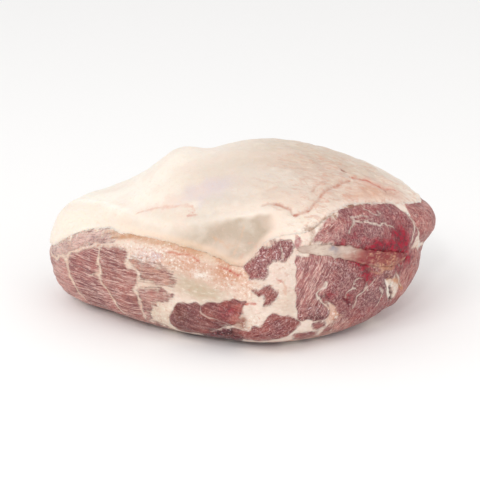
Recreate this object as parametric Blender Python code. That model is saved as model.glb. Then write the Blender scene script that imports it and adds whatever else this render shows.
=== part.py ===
"""A bone-in pork butt, whole: a fat cap over the lean of the shoulder, with the blade bone running through.

Units are metres and +Z is up. The joint lies fat side up on its flat underside. +X runs along its length,
its two cut faces look toward -Y, and the origin is on the ground under the middle of the joint.

Two coordinates run over the side of the joint: the run, measured along its outline seen from above from the
front corner (positive toward the right end), and the height above the ground.
"""

import math
from collections import namedtuple

import bmesh
import bpy
import numpy as np
from mathutils import Matrix

COLLECTION_NAME = "bone_in_pork_butt"

# Driving dimensions of the outline seen from above and of the side's profile, station by station.
# angle: degrees round from +X. reach: from the axis out to the widest point. belly: height of that point.
# shoulder: how square the side turns into the top. foot: how far the underside's edge is tucked in.
# hem: how square the side turns into the underside.
Station = namedtuple("Station", "angle reach belly shoulder foot hem")
STATIONS = (
    Station(-4.0, 0.1345, 0.064, 2.3, 0.029, 5.0),
    Station(25.0, 0.134, 0.060, 2.4, 0.024, 4.5),
    Station(55.0, 0.112, 0.055, 2.4, 0.014, 4.5),
    Station(90.0, 0.096, 0.050, 2.4, 0.010, 4.5),
    Station(125.0, 0.112, 0.046, 2.4, 0.010, 4.5),
    Station(155.0, 0.136, 0.044, 2.6, 0.012, 4.5),
    Station(178.0, 0.1435, 0.044, 2.85, 0.009, 5.2),
    Station(200.0, 0.112, 0.040, 3.0, 0.005, 4.2),
    Station(228.0, 0.091, 0.036, 2.9, 0.003, 4.5),
    Station(255.0, 0.087, 0.034, 2.8, 0.003, 4.5),
    Station(282.0, 0.096, 0.034, 2.6, 0.003, 4.5),
    Station(306.0, 0.101, 0.040, 2.6, 0.005, 5.5),
    Station(331.0, 0.116, 0.050, 2.5, 0.010, 5.2),
)
FRONT_CORNER = math.radians(270.0)

# The side's curve would turn in this share of the belly's height under the ground, so the underside is flat.
UNDERGROUND_SHARE = 0.06
FOOT_CURVE = 1.3

# Height of the top, and the swells and hollows on it.
TOP_HEIGHT = 0.100
Swell = namedtuple("Swell", "x y half_length half_width rise")
TOP_SWELLS = (
    Swell(0.022, 0.015, 0.090, 0.080, 0.022),
    Swell(-0.050, 0.030, 0.018, 0.040, 0.008),
    Swell(-0.024, 0.030, 0.016, 0.040, -0.003),
    Swell(-0.100, 0.000, 0.042, 0.080, -0.019),
    Swell(0.062, -0.034, 0.016, 0.008, 0.0012),
    Swell(0.092, -0.012, 0.020, 0.009, -0.0014),
    Swell(0.050, 0.050, 0.030, 0.022, -0.0015),
)

# Lower edge of the fat cap: its height above the ground at each run. It dips at the front corner.
Edge = namedtuple("Edge", "run height")
FAT_EDGE = (
    Edge(-0.330, 0.060),
    Edge(-0.270, 0.054),
    Edge(-0.215, 0.044),
    Edge(-0.185, 0.042),
    Edge(-0.165, 0.049),
    Edge(-0.150, 0.060),
    Edge(-0.135, 0.068),
    Edge(-0.110, 0.070),
    Edge(-0.075, 0.072),
    Edge(-0.042, 0.070),
    Edge(-0.018, 0.066),
    Edge(-0.003, 0.060),
    Edge(0.008, 0.070),
    Edge(0.018, 0.077),
    Edge(0.032, 0.081),
    Edge(0.052, 0.081),
    Edge(0.070, 0.086),
    Edge(0.087, 0.090),
    Edge(0.105, 0.092),
    Edge(0.138, 0.088),
    Edge(0.168, 0.081),
    Edge(0.220, 0.076),
    Edge(0.270, 0.070),
    Edge(0.320, 0.064),
)
CAP_THICKNESS = 0.014
RIM_THICKNESS = 0.016
RIM_RISE = 0.002

# The butcher's bevel round the left half of the cap: a crest with a hollowed face under it.
CREST = (
    Edge(-0.260, 0.068),
    Edge(-0.192, 0.075),
    Edge(-0.130, 0.080),
    Edge(-0.085, 0.081),
    Edge(-0.046, 0.085),
    Edge(-0.021, 0.088),
    Edge(0.005, 0.091),
    Edge(0.031, 0.094),
)
CREST_RISE = 0.0018
CREST_HALF_HEIGHT = 0.005
BEVEL_DEPTH = 0.0016
LEAST_BEVEL = 0.006
HOLLOW_SHARE = 1 / 2.6
BEVEL_START, BEVEL_END, BEVEL_FADE = -0.230, 0.022, 0.018

# The lean is set back under the lip of the fat on the left cut face.
LIP_SETBACK = 0.0018
LIP_DEPTH = 0.006
LIP_START, LIP_END, LIP_FADE = -0.200, -0.006, 0.010

# Muscles, seams and hollows that stand out of the side or sink into it.
Pad = namedtuple("Pad", "run height half_run half_height rise")
PADS = (
    # left cut face: three bundles of grain
    Pad(-0.170, 0.034, 0.011, 0.020, 0.0008),
    Pad(-0.146, 0.036, 0.009, 0.022, 0.0018),
    Pad(-0.117, 0.040, 0.012, 0.024, 0.0022),
    Pad(-0.086, 0.040, 0.010, 0.022, 0.0012),
    # front corner: a hollow of connective fat with muscles round it
    Pad(-0.055, 0.047, 0.022, 0.014, -0.0030),
    Pad(-0.030, 0.022, 0.030, 0.012, 0.0042),
    Pad(0.026, 0.066, 0.017, 0.012, 0.0040),
    Pad(0.026, 0.041, 0.008, 0.008, 0.0026),
    Pad(0.026, 0.016, 0.024, 0.009, 0.0046),
    Pad(0.041, 0.048, 0.004, 0.026, -0.0022),
    # right cut face: the muscles over, under and beside the blade bone
    Pad(0.062, 0.045, 0.012, 0.022, 0.0022),
    Pad(0.104, 0.038, 0.022, 0.018, 0.0030),
    Pad(0.098, 0.080, 0.032, 0.008, 0.0026),
    Pad(0.083, 0.030, 0.004, 0.014, -0.0022),
    # right end: the end lobe, the notch under it and the edge muscle
    Pad(0.168, 0.072, 0.018, 0.013, 0.0055),
    Pad(0.155, 0.056, 0.008, 0.005, -0.0045),
    Pad(0.146, 0.036, 0.011, 0.017, 0.0040),
    Pad(0.135, 0.022, 0.012, 0.010, 0.0040),
    # back of the joint
    Pad(0.215, 0.040, 0.022, 0.020, 0.0036),
    Pad(0.262, 0.030, 0.026, 0.016, 0.0040),
    Pad(0.300, 0.048, 0.014, 0.020, -0.0026),
    Pad(0.335, 0.030, 0.022, 0.018, 0.0036),
    Pad(-0.330, 0.034, 0.024, 0.020, 0.0038),
    Pad(-0.292, 0.034, 0.010, 0.014, -0.0024),
    Pad(-0.262, 0.028, 0.020, 0.016, 0.0034),
    Pad(-0.215, 0.030, 0.018, 0.018, 0.0028),
)
FOOT_FADE = 0.010

# Unevenness of cut meat: low swells of this height, at these wavelengths along the run and up the side.
CRAG_HEIGHT = 0.0005
Wave = namedtuple("Wave", "run_length height_length phase")
CRAG_WAVES = (Wave(0.058, 0.061, 0.6), Wave(0.037, 0.043, 2.1))

# The blade bone: sections along a straight line from the right cut face to the back. At the cut face the
# section is a strip that thickens toward the right end and steps down on the way there.
BLADE_START = (0.078, -0.068)
BLADE_HEADING = (-0.52, 0.85)
Section = namedtuple("Section", "distance width thickness height taper drop")
BLADE_SECTIONS = (
    Section(-0.040, 0.088, 0.0100, 0.0640, 0.30, 0.0095),
    Section(0.000, 0.088, 0.0100, 0.0640, 0.30, 0.0095),
    Section(0.040, 0.078, 0.0095, 0.0625, 0.20, 0.0065),
    Section(0.090, 0.060, 0.0110, 0.0570, 0.10, 0.0030),
    Section(0.140, 0.044, 0.0160, 0.0480, 0.00, 0.0010),
    Section(0.180, 0.040, 0.0220, 0.0400, 0.00, 0.0000),
    Section(0.240, 0.040, 0.0240, 0.0340, 0.00, 0.0000),
)
BLADE_SIDES = 24
BLADE_SQUARENESS = 2.6

# Clearance between neighbouring solids: round the bone, and between the fat and the lean, whose folds differ.
GAP = 0.0003
SEAM_GAP = 0.0005

# Cells along each edge of the cubes that the skins are shaped from, and the row that becomes the fat's edge.
SKIN_CELLS, SKIN_WALL_ROWS = 32, 17
CORE_CELLS, CORE_WALL_ROWS = 12, 6

# The rows of the lean's side crowd toward the underside, where its curve is tightest, and the relief of the
# side fades out over this share of the way from the fat's edge to the middle of the top.
ROW_CROWDING = 1.2
RELIEF_REACH = 0.5

OUTLINE_STEPS = 1440
SAME_BEARING = math.radians(0.01)
SHARP_ANGLE = math.radians(40.0)


def smooth_loop(places, values, period, at):
    """Value at each place of a closed curve through the given points, with continuous slope."""
    places = np.asarray(places, dtype=float)
    values = np.asarray(values, dtype=float)
    x = np.concatenate([places - period, places, places + period])
    v = np.tile(values, 3)
    slope = (np.roll(v, -1) - np.roll(v, 1)) / (np.roll(x, -1) - np.roll(x, 1))
    at = np.mod(np.asarray(at) - places[0], period) + places[0]
    i = np.searchsorted(x, at, side="right") - 1
    span = x[i + 1] - x[i]
    t = (at - x[i]) / span
    start = (2 * t**3 - 3 * t**2 + 1) * v[i] + (t**3 - 2 * t**2 + t) * span * slope[i]
    end = (3 * t**2 - 2 * t**3) * v[i + 1] + (t**3 - t**2) * span * slope[i + 1]
    return start + end


def station(name, angle):
    """One column of the station table, read round the joint."""
    angles = [math.radians(s.angle) for s in STATIONS]
    return smooth_loop(angles, [getattr(s, name) for s in STATIONS], 2 * math.pi, angle)


def smooth_step(low, high, value):
    t = np.clip((value - low) / (high - low), 0, 1)
    return t * t * (3 - 2 * t)


def measure_outline():
    """Angles round the outline and the run at each of them, from the front corner."""
    angles = FRONT_CORNER + np.linspace(-math.pi, math.pi, OUTLINE_STEPS + 1)
    reach = station("reach", angles)
    steps = np.hypot(np.diff(reach * np.cos(angles)), np.diff(reach * np.sin(angles)))
    runs = np.concatenate([[0.0], np.cumsum(steps)])
    return angles, runs - np.interp(FRONT_CORNER, angles, runs), runs[-1]


OUTLINE_ANGLES, OUTLINE_RUNS, GIRTH = measure_outline()


def run_at(angle):
    low = FRONT_CORNER - math.pi
    return np.interp(np.mod(angle - low, 2 * math.pi) + low, OUTLINE_ANGLES, OUTLINE_RUNS)


def edge_height(angle):
    """Height of the fat's lower edge."""
    runs = [e.run for e in FAT_EDGE]
    return smooth_loop(runs, [e.height for e in FAT_EDGE], GIRTH, run_at(angle))


def crown_height(x, y):
    """Height of the top of the joint over a point of its plan."""
    height = np.full_like(x, TOP_HEIGHT)
    for s in TOP_SWELLS:
        height += s.rise * np.exp(-((x - s.x) / s.half_length) ** 2 - ((y - s.y) / s.half_width) ** 2)
    return height


def upper_share(angle, height):
    """Share of the way up from the belly to the crown, at a height of the side above the belly."""
    reach, belly, shoulder = (station(name, angle) for name in ("reach", "belly", "shoulder"))
    radius = reach
    for _ in range(4):
        crown = crown_height(radius * np.cos(angle), radius * np.sin(angle))
        share = np.clip((height - belly) / (crown - belly), 0, 1)
        radius = reach * (1 - share**shoulder) ** (1 / shoulder)
    return share


def side_radius(angle, height):
    """Distance from the axis to the side at a height, before the relief."""
    reach, belly, shoulder = (station(name, angle) for name in ("reach", "belly", "shoulder"))
    foot, hem = station("foot", angle), station("hem", angle)
    upper = reach * (1 - upper_share(angle, height) ** shoulder) ** (1 / shoulder)
    down = np.clip(1 - height / belly, 0, 1) / (1 + UNDERGROUND_SHARE)
    lower = (reach - foot * down**FOOT_CURVE) * (1 - down**hem) ** (1 / hem)
    return np.where(height > belly, upper, lower)


def relief(run, height):
    """How far the muscles and hollows stand out of the side."""
    rise = np.zeros_like(run)
    for p in PADS:
        away = np.mod(run - p.run + GIRTH / 2, GIRTH) - GIRTH / 2
        rise += p.rise * np.exp(-(away / p.half_run) ** 2 - ((height - p.height) / p.half_height) ** 2)
    for w in CRAG_WAVES:
        along = np.sin(2 * math.pi * round(GIRTH / w.run_length) * run / GIRTH + w.phase)
        rise += CRAG_HEIGHT * along * np.sin(2 * math.pi * height / w.height_length + w.phase)
    return rise * smooth_step(0, FOOT_FADE, height)


def within(run, start, end, fade):
    """1 between two runs, fading to 0 outside them."""
    return smooth_step(start - fade, start, run) * (1 - smooth_step(end, end + fade, run))


def bevel(run, height, edge):
    """The crest of the cut rim and the hollow of its face."""
    crest_height = np.interp(run, [e.run for e in CREST], [e.height for e in CREST])
    crest = CREST_RISE * np.exp(-((height - crest_height) / CREST_HALF_HEIGHT) ** 2)
    middle = (edge + crest_height) / 2
    half = np.maximum(crest_height - edge, LEAST_BEVEL) * HOLLOW_SHARE
    hollow = BEVEL_DEPTH * np.exp(-((height - middle) / half) ** 2)
    return (crest - hollow) * within(run, BEVEL_START, BEVEL_END, BEVEL_FADE)


def wall_points(angle, share):
    """Points of the lean's side: share 0 at the underside's edge, 1 at the fat's edge."""
    run, edge = run_at(angle), edge_height(angle)
    height = (edge - SEAM_GAP) * share**ROW_CROWDING
    under_lip = smooth_step(edge - LIP_DEPTH, edge, height) * within(run, LIP_START, LIP_END, LIP_FADE)
    radius = side_radius(angle, height) + relief(run, height) - LIP_SETBACK * under_lip
    return radius, height


def cap_points(angle, share):
    """Points of the fat's top side: share 0 at its lower edge, 1 at the middle of the top."""
    reach, belly, shoulder = (station(name, angle) for name in ("reach", "belly", "shoulder"))
    run, edge = run_at(angle), edge_height(angle)
    edge_share = upper_share(angle, edge)
    start = np.arctan2(edge_share, (1 - edge_share**shoulder) ** (1 / shoulder))
    turn = start + share * (math.pi / 2 - start)
    across, up = np.cos(turn), np.sin(turn)
    size = (across**shoulder + up**shoulder) ** (-1 / shoulder)
    radius = reach * across * size
    crown = crown_height(radius * np.cos(angle), radius * np.sin(angle))
    height = belly + (crown - belly) * up * size
    out = relief(run, height) * (1 - smooth_step(0, RELIEF_REACH, share)) + bevel(run, height, edge)
    return radius + out * across, height + out * up


def core_points(angle, share, gap):
    """Points of the face between fat and lean, moved down and in by the gap."""
    edge = edge_height(angle)
    rim = side_radius(angle, edge) - RIM_THICKNESS - gap
    start = edge + RIM_RISE - gap
    radius = rim * np.cos(share * math.pi / 2)
    crown = crown_height(radius * np.cos(angle), radius * np.sin(angle)) - CAP_THICKNESS - gap
    return radius, start + (crown - start) * np.sin(share * math.pi / 2)


def cube_directions(corners, seam_level):
    """Angle round the axis, and share of the way from pole or seam, of points on a cube's faces."""
    x, y, z = (np.tan(c * math.pi / 4) for c in corners.T)
    turn = np.arctan2(y, x)
    long_side, short_side = station("reach", 0.0), station("reach", math.pi / 2)
    angle = np.arctan2(short_side * np.sin(turn), long_side * np.cos(turn))
    latitude = np.arctan2(z, np.hypot(x, y))
    reach = np.maximum(np.abs(np.cos(turn)), np.abs(np.sin(turn)))
    seam = np.arctan(math.tan(seam_level * math.pi / 4) * reach)
    floor = -np.arctan(reach)
    above = np.clip((latitude - seam) / (math.pi / 2 - seam), 0, 1)
    below = np.clip((latitude - floor) / (seam - floor), 0, 1)
    under = np.clip((latitude + math.pi / 2) / (floor + math.pi / 2), 0, 1)
    return angle, above, below, under


def skin(cells, wall_rows, keep_above, place):
    """The part of a subdivided cube over or under its seam row, with its corners moved by place."""
    seam_level = 2 * wall_rows / cells - 1
    mesh = bmesh.new()
    bmesh.ops.create_cube(mesh, size=2.0)
    bmesh.ops.subdivide_edges(mesh, edges=mesh.edges[:], cuts=cells - 1, use_grid_fill=True)
    unwanted = [f for f in mesh.faces if (f.calc_center_median().z > seam_level) != keep_above]
    bmesh.ops.delete(mesh, geom=unwanted, context="FACES")
    directions = cube_directions(np.array([v.co for v in mesh.verts]), seam_level)
    radius, height = place(*directions)
    for vert, angle, r, z in zip(mesh.verts, directions[0], radius, height):
        vert.co = (r * math.cos(angle), r * math.sin(angle), z)
    return mesh


def bearing(vert):
    return math.atan2(vert.co.y, vert.co.x)


def lace(mesh, rims):
    """Fills the strip between two rims, whose corners differ in number, with triangles in order round it."""
    rims = [sorted(rim, key=bearing) for rim in rims]
    turns = [[bearing(v) for v in rim] + [bearing(rim[0]) + 2 * math.pi] for rim in rims]
    rims = [rim + rim[:1] for rim in rims]
    step = [0, 0]
    last = [len(rim) - 1 for rim in rims]
    while step != last:
        ahead = [turn[i + 1] if i < end else math.inf for turn, i, end in zip(turns, step, last)]
        near = 0 if ahead[0] <= ahead[1] + SAME_BEARING else 1
        far = 1 - near
        mesh.faces.new((rims[near][step[near]], rims[near][step[near] + 1], rims[far][step[far]]))
        step[near] += 1


def close_skins(outer, inner):
    """Joins two open skins along their rims into one closed surface."""
    joined = bmesh.new()
    outer_count = len(outer.verts)
    for open_skin in (outer, inner):
        carrier = bpy.data.meshes.new("skin")
        open_skin.to_mesh(carrier)
        open_skin.free()
        joined.from_mesh(carrier)
        bpy.data.meshes.remove(carrier)
    joined.verts.index_update()
    rim = [v for v in joined.verts if v.is_boundary]
    lace(joined, ([v for v in rim if v.index < outer_count], [v for v in rim if v.index >= outer_count]))
    bmesh.ops.recalc_face_normals(joined, faces=joined.faces[:])
    return joined


def material(name, colour, roughness):
    made = bpy.data.materials.new(name)
    made.use_nodes = True
    shader = made.node_tree.nodes["Principled BSDF"]
    shader.inputs["Base Color"].default_value = (*colour, 1.0)
    shader.inputs["Roughness"].default_value = roughness
    shader.inputs["Metallic"].default_value = 0.0
    made.diffuse_color = (*colour, 1.0)
    return made


def finish(name, mesh, collection, look=None):
    """Makes an object of a bmesh, in a collection."""
    data = bpy.data.meshes.new(name)
    mesh.to_mesh(data)
    mesh.free()
    if look:
        data.materials.append(look)
        data.shade_smooth()
        data.set_sharp_from_angle(angle=SHARP_ANGLE)
    made = bpy.data.objects.new(name, data)
    collection.objects.link(made)
    return made


def core_skin(gap):
    """The face between fat and lean, in triangles, so that both solids fold alike along it."""
    mesh = skin(CORE_CELLS, CORE_WALL_ROWS, True,
                lambda angle, above, below, under: core_points(angle, above, gap))
    bmesh.ops.triangulate(mesh, faces=mesh.faces[:], quad_method="FIXED")
    return mesh


def fat_cap(collection):
    """The cap of fat: its rounded top side, and the face under it that fits the lean."""
    top = skin(SKIN_CELLS, SKIN_WALL_ROWS, True, lambda angle, above, below, under: cap_points(angle, above))
    look = material("fat", (0.83, 0.74, 0.64), 0.45)
    return finish("fat_cap", close_skins(top, core_skin(0.0)), collection, look)


def side_and_underside(angle, above, below, under):
    """Points of the lean's side, and of the flat underside within it."""
    radius, height = wall_points(angle, below)
    return radius * np.where(below > 0, 1.0, under), height


def lean_meat(collection):
    """The lean: its flat underside, its cut sides, and the rounded top that the fat lies on."""
    side = skin(SKIN_CELLS, SKIN_WALL_ROWS, False, side_and_underside)
    flat = [f for f in side.faces if max(v.co.z for v in f.verts) < GAP]
    bmesh.ops.dissolve_faces(side, faces=flat, use_verts=True)
    look = material("lean", (0.41, 0.15, 0.13), 0.38)
    return finish("lean_meat", close_skins(side, core_skin(SEAM_GAP)), collection, look)


def blade_loft(grow):
    """The blade bone's solid, with its sections grown by a clearance, longer than the joint is deep."""
    mesh = bmesh.new()
    heading = np.array(BLADE_HEADING) / math.hypot(*BLADE_HEADING)
    side = np.array([heading[1], -heading[0]])
    turns = np.linspace(0, 2 * math.pi, BLADE_SIDES, endpoint=False)
    size = (np.abs(np.cos(turns)) ** BLADE_SQUARENESS
            + np.abs(np.sin(turns)) ** BLADE_SQUARENESS) ** (-1 / BLADE_SQUARENESS)
    rings = []
    for s in BLADE_SECTIONS:
        across = (s.width / 2 + grow) * np.cos(turns) * size
        share = across / (s.width / 2)
        up = (s.thickness / 2 * (1 + s.taper * share) + grow) * np.sin(turns) * size
        step_down = s.drop * np.sin(share * math.pi / 2)
        middle = np.array(BLADE_START) + heading * s.distance
        ring = [mesh.verts.new((middle[0] + side[0] * a, middle[1] + side[1] * a, s.height + u - d))
                for a, u, d in zip(across, up, step_down)]
        rings.append(ring)
    for ring in rings:
        for a, b in zip(ring, ring[1:] + ring[:1]):
            mesh.edges.new((a, b))
    bmesh.ops.bridge_loops(mesh, edges=mesh.edges[:])
    bmesh.ops.triangulate(mesh, faces=mesh.faces[:], quad_method="FIXED")
    bmesh.ops.holes_fill(mesh, edges=[e for e in mesh.edges if e.is_boundary])
    bmesh.ops.recalc_face_normals(mesh, faces=mesh.faces[:])
    return mesh


def cut(target, cutter, operation):
    modifier = target.modifiers.new(operation.lower(), "BOOLEAN")
    modifier.operation = operation
    modifier.object = cutter
    modifier.solver = "EXACT"


def guide(made):
    """Marks an object as a cutter."""
    made.hide_render = True
    made.display_type = "WIRE"
    return made


def centre_on_origin(objects):
    """Moves the meshes so that the joint's box stands on the ground with its middle at the origin."""
    corners = np.array([v.co for o in objects for v in o.data.vertices])
    low, high = corners.min(axis=0), corners.max(axis=0)
    return Matrix.Translation((-(low[0] + high[0]) / 2, -(low[1] + high[1]) / 2, -low[2]))


for old in list(bpy.data.objects):
    bpy.data.objects.remove(old)

parts = bpy.data.collections.new(COLLECTION_NAME)
cutters = bpy.data.collections.new("cutters")
for made in (parts, cutters):
    bpy.context.scene.collection.children.link(made)

cap = fat_cap(parts)
lean = lean_meat(parts)
blade = finish("blade_bone", blade_loft(0.0), parts, material("bone", (0.60, 0.48, 0.40), 0.5))
pocket = guide(finish("blade_pocket", blade_loft(GAP), cutters))

move = centre_on_origin((cap, lean))
for made in (cap, lean, blade, pocket):
    made.data.transform(move)

# The bone ends flush with the cut face and with the back, so it is trimmed by the uncut lean.
trim = guide(bpy.data.objects.new("joint_outline", lean.data))
cutters.objects.link(trim)
cut(blade, trim, "INTERSECT")
cut(lean, pocket, "DIFFERENCE")
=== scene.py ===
import functools
import math

import bmesh
import bpy
import numpy as np
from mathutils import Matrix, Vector
from mathutils.bvhtree import BVHTree


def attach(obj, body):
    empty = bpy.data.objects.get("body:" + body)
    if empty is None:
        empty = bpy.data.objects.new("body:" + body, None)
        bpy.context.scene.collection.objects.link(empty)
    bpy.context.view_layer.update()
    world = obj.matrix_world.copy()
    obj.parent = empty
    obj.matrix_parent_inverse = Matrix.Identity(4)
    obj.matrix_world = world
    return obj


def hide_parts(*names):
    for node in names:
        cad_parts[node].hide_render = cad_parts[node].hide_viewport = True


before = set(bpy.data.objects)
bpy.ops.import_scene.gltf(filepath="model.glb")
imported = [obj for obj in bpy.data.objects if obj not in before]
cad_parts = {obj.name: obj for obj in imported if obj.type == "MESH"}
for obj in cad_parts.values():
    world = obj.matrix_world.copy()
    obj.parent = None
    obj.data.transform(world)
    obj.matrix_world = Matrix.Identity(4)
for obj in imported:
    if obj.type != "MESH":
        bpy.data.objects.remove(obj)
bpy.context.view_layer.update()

# The studio: a camera a little above the work, a white sweep of floor, a broad soft light high on the left,
# a weaker one on the right, a small lamp that gives the wet meat its glints, and a white sky.
CAMERA_DISTANCE = 1.03
CAMERA_RISE = math.radians(20.0)
CAMERA_TARGET = Vector((0.0, 0.0, 0.050))
CAMERA_LENS = 105.0
FLOOR_SIZE = 6.0
FLOOR_COLOUR = "#FAF9F8"
SKY_COLOUR = "#FFFFFF"
SKY_STRENGTH = 0.88


def linear(hex_colour):
    """Linear red, green, blue and alpha of an sRGB hex colour."""
    parts = [int(hex_colour[i:i + 2], 16) / 255 for i in (1, 3, 5)]
    parts = [p / 12.92 if p <= 0.04045 else ((p + 0.055) / 1.055) ** 2.4 for p in parts]
    return (*parts, 1.0)


def set_inputs(node, values):
    """Sets inputs of a node, by name or number, and links those whose value is another node's output."""
    for name, value in values.items():
        if isinstance(value, bpy.types.NodeSocket):
            node.id_data.links.new(value, node.inputs[name])
        else:
            node.inputs[name].default_value = value


def add_node(tree, kind, settings, values, output=0):
    """Adds a shader node and gives one of its outputs. Settings of one word are the node's operation, and
    values without names go to its inputs in their order."""
    node = tree.nodes.new("ShaderNode" + kind)
    settings = {"operation": settings} if isinstance(settings, str) else settings
    for name, value in settings.items():
        setattr(node, name, value)
    set_inputs(node, dict(enumerate(values)) if isinstance(values, tuple) else values)
    return node.outputs[output]


def new_material(name):
    """A node material, its Principled shader and the call that adds a node to it."""
    material = bpy.data.materials.new(name)
    material.use_nodes = True
    tree = material.node_tree
    return material, tree.nodes["Principled BSDF"], functools.partial(add_node, tree)


camera_data = bpy.data.cameras.new("camera")
camera_data.lens = CAMERA_LENS
camera_data.dof.use_dof = False
camera = bpy.data.objects.new("camera", camera_data)
camera_back = Vector((0.0, -math.cos(CAMERA_RISE), math.sin(CAMERA_RISE)))
camera.location = CAMERA_TARGET + CAMERA_DISTANCE * camera_back
camera.rotation_euler = (-camera_back).to_track_quat("-Z", "Y").to_euler()
bpy.context.scene.collection.objects.link(camera)
bpy.context.scene.camera = camera


def soft_light(name, place, width, power):
    """A square area light that faces the joint."""
    data = bpy.data.lights.new(name, "AREA")
    data.shape = "SQUARE"
    data.size = width
    data.energy = power
    light = bpy.data.objects.new(name, data)
    light.location = place
    light.rotation_euler = (CAMERA_TARGET - Vector(place)).to_track_quat("-Z", "Y").to_euler()
    bpy.context.scene.collection.objects.link(light)


soft_light("key_light", (-0.9, -1.2, 1.5), 1.0, 9.0)
soft_light("fill_light", (1.4, -1.3, 0.8), 1.0, 3.0)
soft_light("glint_light", (-0.25, -1.5, 1.0), 0.16, 4.0)

world = bpy.data.worlds.new("sky")
world.use_nodes = True
sky = world.node_tree.nodes["Background"]
set_inputs(sky, {"Color": linear(SKY_COLOUR), "Strength": SKY_STRENGTH})
bpy.context.scene.world = world
bpy.context.scene.view_settings.view_transform = "Standard"

sweep = bmesh.new()
bmesh.ops.create_grid(sweep, x_segments=2, y_segments=2, size=FLOOR_SIZE / 2)
floor_mesh = bpy.data.meshes.new("floor")
sweep.to_mesh(floor_mesh)
sweep.free()
floor = bpy.data.objects.new("floor", floor_mesh)
bpy.context.scene.collection.objects.link(floor)
paper, shader, _ = new_material("matt_white_paper")
set_inputs(shader, {"Base Color": linear(FLOOR_COLOUR), "Roughness": 0.9, "Specular IOR Level": 0.1})
floor_mesh.materials.append(paper)

# The lean: one block of raw shoulder, cut from the carcass with a knife. Muscles of different grain lie side
# by side in it, parted by seams of white fat, and cream connective fat fills the front corner.
MESH_CELL = 0.00142
BONE_CELL = 0.0010
WELD_DISTANCE = 0.00001
FLAT_TURN = math.radians(15.0)
FACE_TURN = math.radians(60.0)
SHARP_EDGE = math.radians(50.0)
EASING_ROUNDS = 6
BEARINGS = 180
DEPTH_REACH = 15.0
LINE_REACH = 8.0
STAIN_EDGE = 1.5
PATCH_EDGE = 1.2
RIPPLE_WAVES = 10
RIPPLE_REACH = 3.2


def even_copy(node, cell):
    """A fine, even mesh of a CAD solid, rounded everywhere but along its sharp edges."""
    shape = bmesh.new()
    shape.from_mesh(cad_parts[node].data)
    bmesh.ops.remove_doubles(shape, verts=shape.verts, dist=WELD_DISTANCE)
    bmesh.ops.join_triangles(shape, faces=shape.faces, angle_face_threshold=FLAT_TURN,
                             angle_shape_threshold=FACE_TURN)
    crease = shape.edges.layers.float.new("crease_edge")
    for edge in shape.edges:
        if edge.calc_face_angle(0.0) > SHARP_EDGE:
            edge[crease] = 1.0
    rough = bpy.data.meshes.new(node + "_rough")
    shape.to_mesh(rough)
    shape.free()
    carrier = bpy.data.objects.new(node + "_carrier", rough)
    bpy.context.scene.collection.objects.link(carrier)
    rounding = carrier.modifiers.new("rounding", "SUBSURF")
    rounding.levels = rounding.render_levels = 2
    meshing = carrier.modifiers.new("meshing", "REMESH")
    meshing.mode = "VOXEL"
    meshing.voxel_size = cell
    easing = carrier.modifiers.new("easing", "SMOOTH")
    easing.factor = 0.5
    easing.iterations = EASING_ROUNDS
    shown = carrier.evaluated_get(bpy.context.evaluated_depsgraph_get())
    fine_mesh = bpy.data.meshes.new_from_object(shown)
    bpy.data.objects.remove(carrier)
    return fine_mesh


def read_points(mesh):
    """The vertices of a mesh, in millimetres, and their normals."""
    places = np.empty(len(mesh.vertices) * 3)
    mesh.vertices.foreach_get("co", places)
    normals = np.empty(len(mesh.vertices) * 3)
    mesh.vertex_normals.foreach_get("vector", normals)
    return places.reshape(-1, 3) * 1000, normals.reshape(-1, 3)


def write_points(mesh, places):
    """Moves the vertices of a mesh to these places in millimetres."""
    mesh.vertices.foreach_set("co", (places / 1000).ravel())
    mesh.update()


def keep_values(mesh, name, values, domain="POINT"):
    """Stores a number, a vector or a colour for each vertex, or each corner of a face, for the materials."""
    kinds = {1: ("FLOAT", "value"), 3: ("FLOAT_VECTOR", "vector"), 4: ("FLOAT_COLOR", "color")}
    kind, field = kinds[1 if values.ndim == 1 else values.shape[1]]
    mesh.attributes.new(name, kind, domain).data.foreach_set(field, values.ravel())


def with_alpha(tint):
    """The tint with a fourth value of one, as a colour attribute needs."""
    return np.concatenate([tint, np.ones((len(tint), 1))], 1)


def step(low, high, values):
    """0 at the low value, 1 at the high one, with an eased rise between."""
    t = np.clip((values - low) / (high - low), 0, 1)
    return t * t * (3 - 2 * t)


def ripple(places, size, seed):
    """Unevenness from about -1 to 1, in swells of this many millimetres, the same on every run."""
    dice = np.random.default_rng(seed)
    total = np.zeros(len(places))
    for _ in range(RIPPLE_WAVES):
        heading = dice.normal(size=places.shape[1])
        heading *= 2 * math.pi / (size * dice.uniform(0.7, 1.5) * np.linalg.norm(heading))
        total += np.sin(places @ heading + dice.uniform(0, 2 * math.pi))
    return total / RIPPLE_REACH


lean_mesh = even_copy("lean_meat", MESH_CELL)
cap_mesh = even_copy("fat_cap", MESH_CELL)
lean_places, lean_normals = read_points(lean_mesh)
cap_places, cap_normals = read_points(cap_mesh)


def turn_from_front(places):
    """Angle round the joint, seen from above, from the front corner."""
    return np.mod(np.arctan2(places[:, 1], places[:, 0]) + math.pi / 2, 2 * math.pi)


bearing_middles = (np.arange(BEARINGS) + 0.5) / BEARINGS * 2 * math.pi


def bearing_extremes(places, values, pick, start, rounds):
    """The greatest or least value at each bearing round the joint, evened out."""
    bearing = (turn_from_front(places) / (2 * math.pi) * BEARINGS).astype(int) % BEARINGS
    found = np.full(BEARINGS, start)
    pick.at(found, bearing, values)
    for _ in range(rounds):
        found = (np.roll(found, 1) + 2 * found + np.roll(found, -1)) / 4
    return found


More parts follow.
